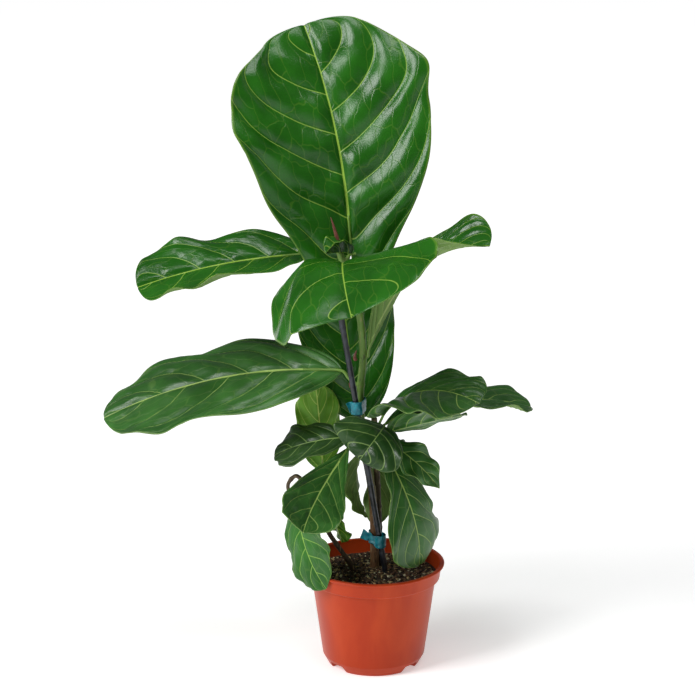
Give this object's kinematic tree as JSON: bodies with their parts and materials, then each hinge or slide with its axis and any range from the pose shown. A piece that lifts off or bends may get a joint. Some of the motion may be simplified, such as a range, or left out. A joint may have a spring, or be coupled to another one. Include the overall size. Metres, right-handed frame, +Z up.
{
  "type": "potted fiddle leaf fig",
  "caption": "Young potted houseplant: leathery violin-shaped leaves on thin upright stems, tied to a slanting stake, in a tapered round plastic nursery pot filled with soil.",
  "frame": {"origin": "middle of the pot's flat underside, where it stands", "axes": "+Z up, -Y towards the front of the plant, +X to the right as seen from the front"},
  "size_m": [0.4647, 0.2785, 0.6923],
  "materials": {
    "pot": "satin moulded plastic, terracotta orange",
    "soil": "damp crumbly peat and bark with pale grit",
    "stake": "dark ribbed plastic coating, satin",
    "green_stem": "young green bark, brown at the foot",
    "woody_stem": "thin dark bark, matte",
    "tape": "stretchy garden tape, satin",
    "sheath": "dry papery sheath, matte",
    "leaf": "waxy leathery leaf, glossy above, paler below"
  },
  "bodies": {
    "root": {"pot": "pot", "soil": "soil", "stake": "stake", "main_stem": "green_stem", "side_stem": "woody_stem", "left_stem": "woody_stem", "upper_tie": "tape", "lower_tie": "tape", "terminal_bud": "sheath", "upper_stipule": "sheath", "lower_stipule": "sheath", "crown_leaf": "leaf", "upper_left_leaf": "leaf", "front_leaf": "leaf", "arching_leaf": "leaf", "back_leaf": "leaf", "long_left_leaf": "leaf", "right_leaf": "leaf", "far_right_leaf": "leaf", "lower_right_leaf": "leaf", "round_leaf": "leaf", "lower_left_leaf": "leaf", "front_hanging_leaf": "leaf", "wavy_leaf": "leaf", "right_hanging_leaf": "leaf", "small_back_leaf": "leaf", "inner_left_leaf": "leaf", "inner_right_leaf": "leaf", "left_back_leaf": "leaf", "outer_hanging_leaf": "leaf", "small_left_leaf": "leaf", "young_leaf": "leaf"}
  },
  "joints": []
}
